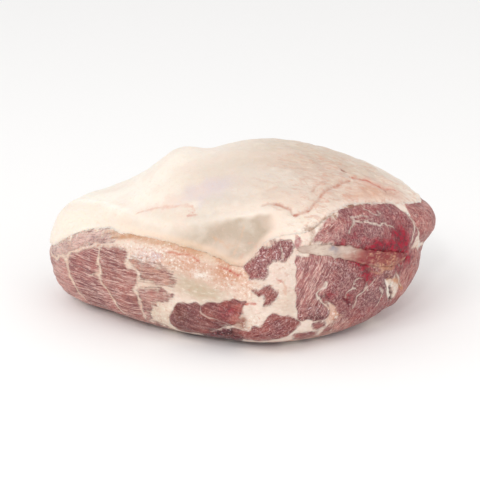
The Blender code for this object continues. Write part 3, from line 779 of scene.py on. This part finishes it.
side_shown = step(-0.95, -0.6, lean_normals[:, 2]) * step(0.5, 4.0, lean_places[:, 2])
by_cap = 1 - step(-3.0, -0.5, lean_over_edge)
strands = STRAND_RISE * ripple(along_grain(lean_spots, muscle_at)[:, :2], STRAND_SIZE, 22)
lumps = LUMP_RISE * ripple(lean_places, LUMP_SIZE, 23) * flecked
lean_rise = bulge + strands * step(0.0, 1.5, depth) + lumps * step(0.5, -0.5, depth)
lean_rise += SWELL_RISE * ripple(lean_places, SWELL_SIZE, 21)
lean_rise *= side_shown * by_cap
lean_moved = meet(meet(lean_places, bone_mesh, *MEET_BONE), cap_mesh, *MEET_CAP)
write_points(lean_mesh, lean_moved + lean_normals * lean_rise[:, None])
keep_values(lean_mesh, "grain", corner_grain, "CORNER")
for name, values in (
        ("depth", depth), ("blood", blood), ("flecked", flecked), ("traits", traits),
        ("lean_tint", with_alpha(lean_tint)), ("fat_tint", with_alpha(lean_fat_tint)),
        ("streak_tint", with_alpha(streak_tint)), ("wrap", np.pad(lean_spots, ((0, 0), (0, 1)))),
        ("seam", np.stack([seam_side, seam_half, seam_cover], 1)),
        ("streak", np.stack([streak_side, streak_half, streak_cover], 1))):
    keep_values(lean_mesh, name, values)

# Raw pork muscle, cut with a knife: rose-brown strands of a millimetre or two, flecked with fat, moist and
# slightly see-through, so light softens inside it. Its seams are the same cream fat as the cap.
EASED = {"interpolation_type": "SMOOTHSTEP"}
IN_COLOUR = {"data_type": "RGBA"}
# Grit, painted glints of moisture and flecks are finer in real meat, and are drawn as coarse as they need to
# show. All sizes are in metres but the mottle's, which follows the map of muscles in millimetres.
GRIT, GLINT_SPECK, FLECK, CLOT, BROAD = 0.0012, 0.0017, 0.0017, 0.0040, 0.0110
MOTTLE_LENGTH, MOTTLE_HEIGHT = 5.0, 2.4


def lay_layers(add, colour, layers):
    """Lays colours over one another, each where its pattern lies in a range, and as strongly as it says."""
    for pattern, low, high, strength, hex_colour in layers:
        cover = add("MapRange", EASED, (pattern, low, high, 0.0, strength))
        colour = add("Mix", IN_COLOUR, {0: cover, 6: colour, 7: linear(hex_colour)}, 2)
    return colour


def fine_lines(add, lines_at, scale, detail, roughness, where, fading):
    """A pattern of thin wandering lines, where it is near 0, which thin out as the last mask falls to 0."""
    lines = add("TexNoise", {}, {
        "Vector": lines_at, "Scale": scale, "Detail": detail, "Roughness": roughness}, "Fac")
    lines = add("Math", "SUBTRACT", (lines, 0.5))
    lines = add("Math", "ABSOLUTE", (lines,))
    elsewhere = add("Math", "SUBTRACT", (1.0, where))
    return add("Math", "MULTIPLY_ADD", (elsewhere, fading, lines))


def line_cover(add, line, fray, outer, inner):
    """Where a line shows, with a frayed border, from its stored distance, half width and strength."""
    distance, half, strength = add("SeparateXYZ", {}, (line,)).node.outputs
    distance = add("Math", "ABSOLUTE", (distance,))
    inside = add("Math", "SUBTRACT", (half, distance))
    inside = add("Math", "ADD", (inside, fray))
    cover = add("MapRange", EASED, (inside, outer, inner))
    return add("Math", "MULTIPLY", (cover, strength))


raw_pork, shader, add = new_material("raw_pork_lean")
place = add("TexCoord", {}, {}, "Object")
stored = {}
for name, output in (
        ("depth", "Fac"), ("blood", "Fac"), ("flecked", "Fac"), ("lean_tint", "Color"), ("fat_tint", "Color"),
        ("streak_tint", "Color"), ("grain", "Vector"), ("wrap", "Vector"), ("traits", "Vector"),
        ("seam", "Vector"), ("streak", "Vector")):
    stored[name] = add("Attribute", {"attribute_name": name}, {}, output)
wet, mixed, threaded = add("SeparateXYZ", {}, (stored["traits"],)).node.outputs
grit, glint_specks, flecks, clots, broad = (
    add("TexNoise", {}, {"Vector": place, "Scale": 1 / size, "Detail": detail}, "Fac")
    for size, detail in ((GRIT, 2.0), (GLINT_SPECK, 1.0), (FLECK, 3.0), (CLOT, 3.0), (BROAD, 2.0)))

# The grain: bundles of strands, bent a little, dark and light by turns, with finer strands and pale threads.
bend = add("TexNoise", {}, {"Vector": stored["grain"], "Scale": 0.8, "Detail": 2.0}, "Color")
bend = add("VectorMath", "SUBTRACT", (bend, (0.5, 0.5, 0.5)))
bend_by = add("MapRange", {}, (threaded, 0.3, 0.9, 0.5, 1.1))
bend = add("VectorMath", "SCALE", {0: bend, "Scale": bend_by})
bent = add("VectorMath", "ADD", (stored["grain"], bend))
bundles, fine = (
    add("TexNoise", {}, {"Vector": bent, "Scale": scale, "Detail": detail, "Roughness": roughness}, "Fac")
    for scale, detail, roughness in ((1.0, 4.0, 0.62), (2.6, 3.0, 0.6)))
threads = fine_lines(add, bent, 0.9, 2.5, 0.6, threaded, 0.05)
cells = add("TexVoronoi", {"feature": "DISTANCE_TO_EDGE"}, {"Vector": bent, "Scale": 0.6}, "Distance")
film = add("MapRange", EASED, (cells, 0.10, 0.01))

# Frayed borders: bundles end unevenly at a seam, and run out into the fat where fat is mixed in.
fray = add("MapRange", {}, (clots, 0.25, 0.75, -0.8, 0.8))
run_out = add("Math", "ADD", (bundles, clots))
run_out = add("MapRange", {}, (run_out, 0.70, 1.30, 5.5, -5.5))
run_out = add("Math", "MULTIPLY", (run_out, mixed))
frayed = add("Math", "ADD", (stored["depth"], fray))
frayed = add("Math", "ADD", (frayed, run_out))
softness = add("Math", "MULTIPLY_ADD", (mixed, 3.5, 1.0))
frayed = add("Math", "DIVIDE", (frayed, softness))
is_lean = add("MapRange", EASED, (frayed, -0.6, 0.8))
seam_fray = add("MapRange", {}, (bundles, 0.3, 0.7, -0.6, 0.6))
in_seam = line_cover(add, stored["seam"], seam_fray, -0.7, 0.5)
not_seam = add("Math", "SUBTRACT", (1.0, in_seam))
is_lean = add("Math", "MINIMUM", (is_lean, not_seam))

# The lean's layers of colour: the pattern that brings each, its range, how strong it is, and its colour.
lean_colour = lay_layers(add, stored["lean_tint"], (
    (broad, 0.44, 0.62, 0.45, "#6E3F46"),
    (broad, 0.46, 0.30, 0.35, "#A4564D"),
    (bundles, 0.50, 0.34, 0.60, "#5C2429"),
    (bundles, 0.54, 0.70, 0.45, "#C88C82"),
    (fine, 0.46, 0.32, 0.45, "#58222A"),
    (grit, 0.54, 0.70, 0.30, "#CC978F"),
    (grit, 0.44, 0.30, 0.35, "#561F25"),
    (threads, 0.050, 0.005, 0.75, "#E2C0B4"),
))
film_cover = add("MapRange", {}, (clots, 0.42, 0.65, 0.05, 0.6))
film_cover = add("Math", "MULTIPLY", (film_cover, film))
film_cover = add("Math", "MULTIPLY", (film_cover, threaded))
lean_colour = add("Mix", IN_COLOUR, {0: film_cover, 6: lean_colour, 7: linear("#DDB9AE")}, 2)
# Painted highlights: pale specks laid into the colour where the meat is wet, standing for glints of moisture.
painted_glint = add("MapRange", EASED, (glint_specks, 0.62, 0.68, 0.0, 0.6))
painted_glint = add("Math", "MULTIPLY", (painted_glint, wet))
lean_colour = add("Mix", IN_COLOUR, {0: painted_glint, 6: lean_colour, 7: linear("#EAD3D2")}, 2)

# The fat on the side: mottled, flecked white and tan where it is torn, and veined with tan wisps.
mottle_size = (1 / MOTTLE_LENGTH, 1 / MOTTLE_HEIGHT, 1.0)
mottle_place = add("VectorMath", "MULTIPLY", (stored["wrap"], mottle_size))
mottle = add("TexNoise", {}, {"Vector": mottle_place, "Scale": 1.0, "Detail": 4.0, "Roughness": 0.6}, "Fac")
flecks = add("Math", "SUBTRACT", (flecks, 0.5))
flecks = add("Math", "MULTIPLY", (flecks, stored["flecked"]))
wisps = fine_lines(add, mottle_place, 0.9, 2.0, 0.5, stored["flecked"], 0.05)
fat_colour = lay_layers(add, stored["fat_tint"], (
    (mottle, 0.52, 0.75, 0.45, "#F6EADF"),
    (mottle, 0.48, 0.28, 0.45, "#C39682"),
    (broad, 0.55, 0.75, 0.25, "#D2A48E"),
    (flecks, 0.05, 0.16, 0.60, "#FBF1E9"),
    (flecks, -0.03, -0.14, 0.60, "#C68D74"),
    (wisps, 0.035, 0.0, 0.60, "#C98665"),
))

# Streaks and blood lie over both.
streak_fray = add("Math", "MULTIPLY", (seam_fray, -1.0))
in_streak = line_cover(add, stored["streak"], streak_fray, -0.9, 0.9)
broken = add("MapRange", {}, (clots, 0.35, 0.60, 0.45, 1.0))
in_streak = add("Math", "MULTIPLY", (in_streak, broken))
stained = add("Math", "ADD", (clots, grit))
stained = add("MapRange", {}, (stained, 0.75, 1.15, 0.6, 1.1))
stained = add("Math", "MULTIPLY", (stained, stored["blood"]))
fresh = add("Math", "MULTIPLY_ADD", (clots, 1.6, grit))
fresh = add("MapRange", {}, (fresh, 1.15, 1.45))
blood_colour = add("Mix", IN_COLOUR, {0: fresh, 6: linear("#5C091D"), 7: linear("#A2152F")}, 2)
colour = add("Mix", IN_COLOUR, {0: is_lean, 6: fat_colour, 7: lean_colour}, 2)
colour = add("Mix", IN_COLOUR, {0: in_streak, 6: colour, 7: stored["streak_tint"]}, 2)
colour = add("Mix", IN_COLOUR, {0: stained, 6: colour, 7: blood_colour}, 2)
sheen = add("MapRange", {}, (wet, 0.0, 1.0, 0.46, 0.14))
relief = add("Math", "ADD", (bundles, fine))
relief = add("Math", "MULTIPLY", (relief, is_lean))
relief = add("Math", "ADD", (relief, mottle))
relief = add("Math", "ADD", (relief, is_lean))
bump = add("Bump", {}, {"Height": relief, "Strength": 0.7, "Distance": 0.0007}, "Normal")
set_inputs(shader, {
    "Base Color": colour, "Roughness": sheen, "Normal": bump, "IOR": 1.4, "Specular IOR Level": 0.4,
    "Subsurface Weight": 0.2, "Subsurface Radius": (1.0, 0.35, 0.25), "Subsurface Scale": 0.0018})


def show_piece(name, mesh, material, node):
    """Puts a finished mesh in the scene, riding on the joint in the place of its CAD solid."""
    mesh.materials.clear()
    mesh.materials.append(material)
    mesh.shade_smooth()
    piece = bpy.data.objects.new(name, mesh)
    bpy.context.scene.collection.objects.link(piece)
    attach(piece, "root")
    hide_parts(node)


show_piece("lean", lean_mesh, raw_pork, "lean_meat")

# The fat cap: the layer of back fat that was left on the shoulder, skinned with a knife to a smooth dome.
# It is trimmed to a slanting rim along the front, and its right side is loose, pink and folded.
# Places on it are given in plan, in millimetres from the middle of the joint.
CREST = (
    (-124, 16), (-112, 8), (-100, -1), (-94, -11), (-80, -30), (-70, -46), (-57, -57), (-37, -65),
    (-16, -69), (3, -71), (15, -70), (22, -68),
)
# Colours on the cap: place, half length, half width, slant, colour and strength. The bright cream left end
# and the greyer, darker top and right are partly the fat's own colour and partly painted light and shade,
# lighter where light falls from the left.
CAP_STAINS_AND_SHADE = (
    ((-110, -10), 62, 72, 0, "#FAF1E4", 0.9),
    ((0, -30), 50, 30, 0, "#D6C6B6", 0.8),
    ((60, -30), 60, 34, 20, "#CDB4A3", 0.9),
    ((60, 10), 60, 34, 0, "#C8B5A2", 0.8),
    ((24, -38), 30, 11, -8, "#DACEC1", 0.8),
    ((-14, -56), 22, 7, 2, "#CDC1B6", 0.65),
    ((-24, -44), 22, 9, 6, "#D2C3C4", 0.75),
    ((-52, -56), 34, 11, -22, "#E0D0C0", 0.85),
    ((-56, -42), 20, 5, -10, "#E6D0C2", 0.7),
    ((-26, -67), 22, 5, -6, "#D2C4B6", 0.7),
    ((-85, -20), 26, 9, -50, "#F3E3D6", 0.6),
    ((98, -16), 16, 4, 20, "#DDA694", 0.7),
    ((110, -20), 10, 16, 60, "#D0AB97", 0.9),
    ((93, -28), 9, 5, 30, "#CFA78C", 0.8),
    ((44, -70), 22, 7, 28, "#E6D7C7", 0.9),
    ((88, -34), 18, 8, 40, "#D0A68F", 0.8),
    ((-4, -78), 24, 5, 0, "#DCC4AC", 0.8),
)
CREASES = (
    (((15, -64), (24, -61), (33, -63), (38, -66), (43, -63), (49, -58), (55, -51), (60, -44), (66, -37),
      (72, -30), (77, -26)), 1.5, "#BC7E6A", 0.75, 1.0),
    (((37, -66), (42, -64), (47, -60)), 2.0, "#B0563F", 0.85, 0.6),
    (((81, -18), (86, -16), (91, -15), (97, -16), (104, -15), (111, -10)), 1.8, "#C2604F", 0.85, 0.8),
    (((98, -17), (102, -20)), 1.1, "#B8584A", 0.8, 0.2),
    (((80, -26), (89, -23), (96, -26), (101, -29)), 1.0, "#CFA08A", 0.65, 0.5),
    (((83, -31), (91, -30), (98, -34)), 0.9, "#D2A893", 0.55, 0.4),
    (((59, -14), (70, -7), (79, -3), (91, 3), (99, 5)), 1.1, "#C79A86", 0.6, 0.5),
    (((103, -24), (109, -18), (113, -11)), 1.0, "#C8917E", 0.65, 0.5),
    (((104, -3), (110, -6), (115, -5)), 1.0, "#CFA090", 0.6, 0.5),
    (((73, -13), (75, -13)), 2.4, "#8C4636", 0.9, 0.3),
    (((102, -20), (103, -20)), 1.8, "#7A2222", 0.95, 0.1),
    (((44, -73), (50, -70), (55, -67), (63, -60), (72, -54), (84, -44)), 1.4, "#9C7056", 0.9, 0.5),
    (((47, -80), (50, -74), (57, -69), (67, -60)), 1.1, "#96705A", 0.85, 0.3),
    (((49, -73), (56, -68), (65, -60)), 1.6, "#C9C0BE", 0.5, 0.0),
    (((-72, -40), (-63, -41), (-52, -46), (-38, -52), (-31, -58)), 1.4, "#D9A793", 0.6, 0.3),
    (((-36, -60), (-30, -62)), 1.4, "#C98C7C", 0.7, 0.2),
    (((-17, -74), (-10, -78), (-5, -80)), 0.8, "#CFA07C", 0.5, 0.0),
    (((3, -75), (0, -80), (-4, -83)), 0.8, "#D6AC8A", 0.5, 0.0),
    (((20, -26), (32, -28), (46, -24)), 1.2, "#CDA898", 0.5, 0.4),
    (((8, -40), (20, -44), (30, -42)), 1.0, "#D0AC9C", 0.5, 0.3),
    (((60, -36), (54, -40), (50, -46)), 1.2, "#C08C7A", 0.6, 0.5),
)

# A crest runs along the front of the dome, crisp on the right and blunt on the left, and a painted highlight
# lies along it, strongest at its left end. Below it the cap falls to its rim, whose front is laid a darker
# tan.
cap_plan = cap_places[:, :2]
cap_uneven = two_ripples(cap_places, 9, 41)
cap_run = run_of(cap_places)
cap_over_edge = over_edge(cap_places)
crest_side, crest_past = beside_line(CREST, cap_plan + 0.4 * cap_uneven)
along_crest = 1 - step(0.0, 12.0, crest_past)
crisp = step(-40, 0, cap_places[:, 0])
below_crest = step(-1.0, 6.5 - 4.5 * crisp, -crest_side) * along_crest
crest_highlight = band(crest_side - 1.0, 2.2) * along_crest
crest_highlight *= 1 - 0.85 * step(-98, -66, cap_places[:, 0])
# The front of the rim, below the crest, is laid a darker tan.
darker_rim_front = step(-125, -60, cap_run) * (1 - step(22, 34, cap_run)) * step(2.0, 7.0, cap_over_edge)
rim_tint = edge_fat(cap_run)
lay_colour(rim_tint, darker_rim_front, "#B9A693")
cap_tint = with_colours(cap_plan + 2.0 * cap_uneven, "#F0E3D5", CAP_STAINS_AND_SHADE)
lay_colour(cap_tint, below_crest, rim_tint)
lay_colour(cap_tint, 1 - step(1.0, 5.0, cap_over_edge), edge_fat(cap_run))
# Painted highlight: a pale line laid along the crest.
lay_colour(cap_tint, 0.7 * crest_highlight, "#FFF8EE")

crease_side, crease_half, crease_tint, crease_cover, crease_deep = nearest_mark(
    cap_plan + 0.6 * cap_uneven, CREASES)

# The cap swells by these heights where it is firm, by more where it is loose, in swells of these widths, in
# millimetres. The last number is the swells' seed. The crest stands up, and creases sink beside a low roll.
CAP_SWELLS = ((0.25, 0.35, 24, 31), (0.06, 0.16, 8, 32), (0.0, 0.5, 14, 33))
CREST_RISE, CREST_SPREAD = 0.7, 3.0
CREASE_SPREAD, ROLL_AWAY, ROLL_SPREAD = 1.5, 3.0, 2.0
loose = step(-10, 60, cap_places[:, 0]) * (1 - 0.7 * step(-10, 50, cap_places[:, 1]))
cap_rise = CREST_RISE * band(crest_side, CREST_SPREAD) * along_crest
for firm_rise, loose_rise, width, seed in CAP_SWELLS:
    cap_rise += (firm_rise + loose_rise * loose) * ripple(cap_places, width, seed)
cap_rise -= crease_deep * band(crease_side, CREASE_SPREAD) * (crease_half > 0)
cap_rise += 0.5 * crease_deep * band(crease_side - ROLL_AWAY, ROLL_SPREAD) * loose
cap_rise *= step(0.5, 3.0, cap_over_edge)
cap_moved = meet(cap_places, lean_mesh, *MEET_CAP)
write_points(cap_mesh, cap_moved + cap_normals * cap_rise[:, None])
corner_folds = 0.8 * band(cap_plan[:, 0] - 2, 16) * band(cap_plan[:, 1] + 86, 8)
for name, values in (
        ("fat_tint", with_alpha(cap_tint)), ("crease_tint", with_alpha(crease_tint)),
        ("crease", np.stack([crease_side, crease_half, crease_cover], 1)),
        ("looseness", np.maximum(loose * (1 - below_crest), corner_folds))):
    keep_values(cap_mesh, name, values)

# Raw pork back fat, skinned and trimmed with a knife: cream, waxy and a little see-through, with faint pink
# veins and wrinkles a few millimetres apart where it is loose.
# The sizes are in metres. The speckle is finer in real fat, and is drawn as coarse as it needs to show.
WRINKLE_TURN = math.radians(24.0)
WRINKLE_LENGTH, WRINKLE_WIDTH, WRINKLE_HEIGHT = 0.007, 0.0026, 0.004
CLOUD, CLUMP, SPECKLE = 0.020, 0.0055, 0.0022
pork_fat, shader, add = new_material("raw_pork_fat")
place = add("TexCoord", {}, {}, "Object")
stored = {}
for name, output in (
        ("fat_tint", "Color"), ("crease_tint", "Color"), ("crease", "Vector"), ("looseness", "Fac")):
    stored[name] = add("Attribute", {"attribute_name": name}, {}, output)
stretched = add("Mapping", {}, {
    "Vector": place, "Rotation": (0.0, 0.0, WRINKLE_TURN),
    "Scale": (1 / WRINKLE_LENGTH, 1 / WRINKLE_WIDTH, 1 / WRINKLE_HEIGHT)})
wrinkle = add("TexNoise", {}, {"Vector": stretched, "Scale": 1.0, "Detail": 4.0, "Roughness": 0.6}, "Fac")
cloud, clump, speckle = (
    add("TexNoise", {}, {"Vector": place, "Scale": 1 / size, "Detail": detail}, "Fac")
    for size, detail in ((CLOUD, 4.0), (CLUMP, 3.0), (SPECKLE, 3.0)))
wrinkled = add("Math", "SUBTRACT", (wrinkle, 0.5))
wrinkled = add("Math", "MULTIPLY", (wrinkled, stored["looseness"]))
veins = fine_lines(add, stretched, 0.45, 2.5, 0.5, stored["looseness"], 0.05)
fat_colour = lay_layers(add, stored["fat_tint"], (
    (cloud, 0.45, 0.72, 0.35, "#E9D2C3"),
    (cloud, 0.45, 0.30, 0.16, "#FBF5EA"),
    (wrinkled, 0.01, 0.14, 0.50, "#CF9F8B"),
    (wrinkled, -0.03, -0.16, 0.25, "#F1E4D8"),
    (veins, 0.025, 0.0, 0.40, "#C98C76"),
    (speckle, 0.55, 0.72, 0.22, "#DDBBAA"),
))
crease_fray = add("MapRange", {}, (speckle, 0.25, 0.75, -0.6, 0.6))
in_crease = line_cover(add, stored["crease"], crease_fray, -1.0, 0.9)
broken = add("MapRange", {}, (clump, 0.38, 0.58, 0.4, 1.0))
in_crease = add("Math", "MULTIPLY", (in_crease, broken))
fat_colour = add("Mix", IN_COLOUR, {0: in_crease, 6: fat_colour, 7: stored["crease_tint"]}, 2)
relief = add("Math", "MULTIPLY_ADD", (wrinkled, 3.0, speckle))
bump = add("Bump", {}, {"Height": relief, "Strength": 0.5, "Distance": 0.0006}, "Normal")
set_inputs(shader, {
    "Base Color": fat_colour, "Normal": bump, "Roughness": 0.42, "IOR": 1.45,
    "Subsurface Weight": 0.3, "Subsurface Radius": (1.0, 0.7, 0.5), "Subsurface Scale": 0.003})

show_piece("cap", cap_mesh, pork_fat, "fat_cap")

# The blade bone: a flat bone sawn through at the cut face. Its thin end is white and dense, and its thick end
# is red spongy marrow, smeared with blood by the saw.
BONE_STAINS = (
    ((66, 71), 9, 6, -10, "#C2AD9F", 0.9),
    ((59, 71), 7, 6, 0, "#D1BDAD", 0.9),
    ((71, 71.5), 3.5, 2.4, -25, "#85818E", 0.8),
    ((80, 69), 5, 2.5, -10, "#C9B2A5", 0.8),
    ((84, 64), 8, 2.5, -10, "#BE8F7C", 0.7),
    ((91, 63), 6, 6, 0, "#BC8570", 0.9),
    ((99, 62), 8, 6, 0, "#A0524A", 0.9),
    ((118, 58), 22, 9, -6, "#8E3C2C", 0.95),
    ((116, 54), 12, 3.5, -8, "#A05F48", 0.7),
    ((110, 64), 18, 3.5, -8, "#7C1E28", 0.85),
    ((132, 60), 8, 8, 0, "#741822", 0.9),
)

# The front takes its colours from the stains. At the back the sawn end is a ring of bone round its marrow.
bone_spots = side_spots(bone_places)
bone_uneven = two_ripples(bone_places, 6, 51)
bone_seen = seen_from_front(bone_places)
bone_tint = with_colours(bone_spots + 1.2 * bone_uneven, "#BCA496", BONE_STAINS)
back_end = bone_places[bone_places[:, 1] > bone_places[:, 1].max() - 4][:, [0, 2]]
back_half = (back_end.max(0) - back_end.min(0)) / 2
from_middle = (bone_places[:, [0, 2]] + 0.8 * bone_uneven - back_end.min(0) - back_half) / back_half
hollow = (1 - step(0.62, 0.78, np.linalg.norm(from_middle, axis=1))) * step(0, 10, bone_places[:, 1])
lay_colour(bone_tint, hollow, "#8A4238")
bone_rise = np.maximum(0.35 + 0.5 * ripple(bone_places, 6, 53), -0.1)
write_points(bone_mesh, bone_places + bone_normals * bone_rise[:, None])
on_bone = np.minimum(1.2 * patches(bone_spots + 1.5 * bone_uneven, BLOOD), 1.0)
for name, values in (
        ("bone_tint", with_alpha(bone_tint)), ("blood", on_bone * bone_seen),
        ("marrow", np.maximum(step(88, 98, bone_spots[:, 0]) * bone_seen, hollow))):
    keep_values(bone_mesh, name, values)

# Sawn bone: dense and smooth where it is white, open and grainy in the marrow. Its pores are finer in real
# bone, and are drawn as coarse as they need to show. The sizes are in metres.
PORE = 0.0016
PULP_LENGTH, PULP_HEIGHT = 0.005, 0.0018
sawn_bone, shader, add = new_material("sawn_bone")
place = add("TexCoord", {}, {}, "Object")
stored = {}
for name, output in (("bone_tint", "Color"), ("marrow", "Fac"), ("blood", "Fac")):
    stored[name] = add("Attribute", {"attribute_name": name}, {}, output)
pores = add("TexNoise", {}, {"Vector": place, "Scale": 1 / PORE, "Detail": 3.0}, "Fac")
pulp_size = (1 / PULP_LENGTH, 1 / PULP_LENGTH, 1 / PULP_HEIGHT)
pulp_place = add("Mapping", {}, {"Vector": place, "Scale": pulp_size})
pulp = add("TexNoise", {}, {"Vector": pulp_place, "Scale": 1.0, "Detail": 4.0, "Roughness": 0.6}, "Fac")
in_marrow = add("Math", "SUBTRACT", (pulp, 0.5))
in_marrow = add("Math", "MULTIPLY", (in_marrow, stored["marrow"]))
fibres = fine_lines(add, pulp_place, 0.6, 2.0, 0.5, stored["marrow"], 1.0)
bone_colour = lay_layers(add, stored["bone_tint"], (
    (pores, 0.52, 0.72, 0.35, "#B08478"),
    (pulp, 0.46, 0.34, 0.45, "#A5877C"),
    (pulp, 0.55, 0.68, 0.35, "#D9C8BC"),
    (in_marrow, 0.03, 0.16, 0.55, "#C98E70"),
    (in_marrow, -0.02, -0.14, 0.75, "#6E1E22"),
    (fibres, 0.030, 0.0, 0.80, "#E2B48E"),
))
smeared = add("MapRange", {}, (pulp, 0.35, 0.6, 1.0, 0.45))
smeared = add("Math", "MULTIPLY", (smeared, stored["blood"]))
bone_colour = add("Mix", IN_COLOUR, {0: smeared, 6: bone_colour, 7: linear("#7E0A1E")}, 2)
relief = add("Math", "ADD", (pores, pulp))
bump = add("Bump", {}, {"Height": relief, "Strength": 0.6, "Distance": 0.0008}, "Normal")
set_inputs(shader, {"Base Color": bone_colour, "Normal": bump, "Roughness": 0.38})

show_piece("bone", bone_mesh, sawn_bone, "blade_bone")
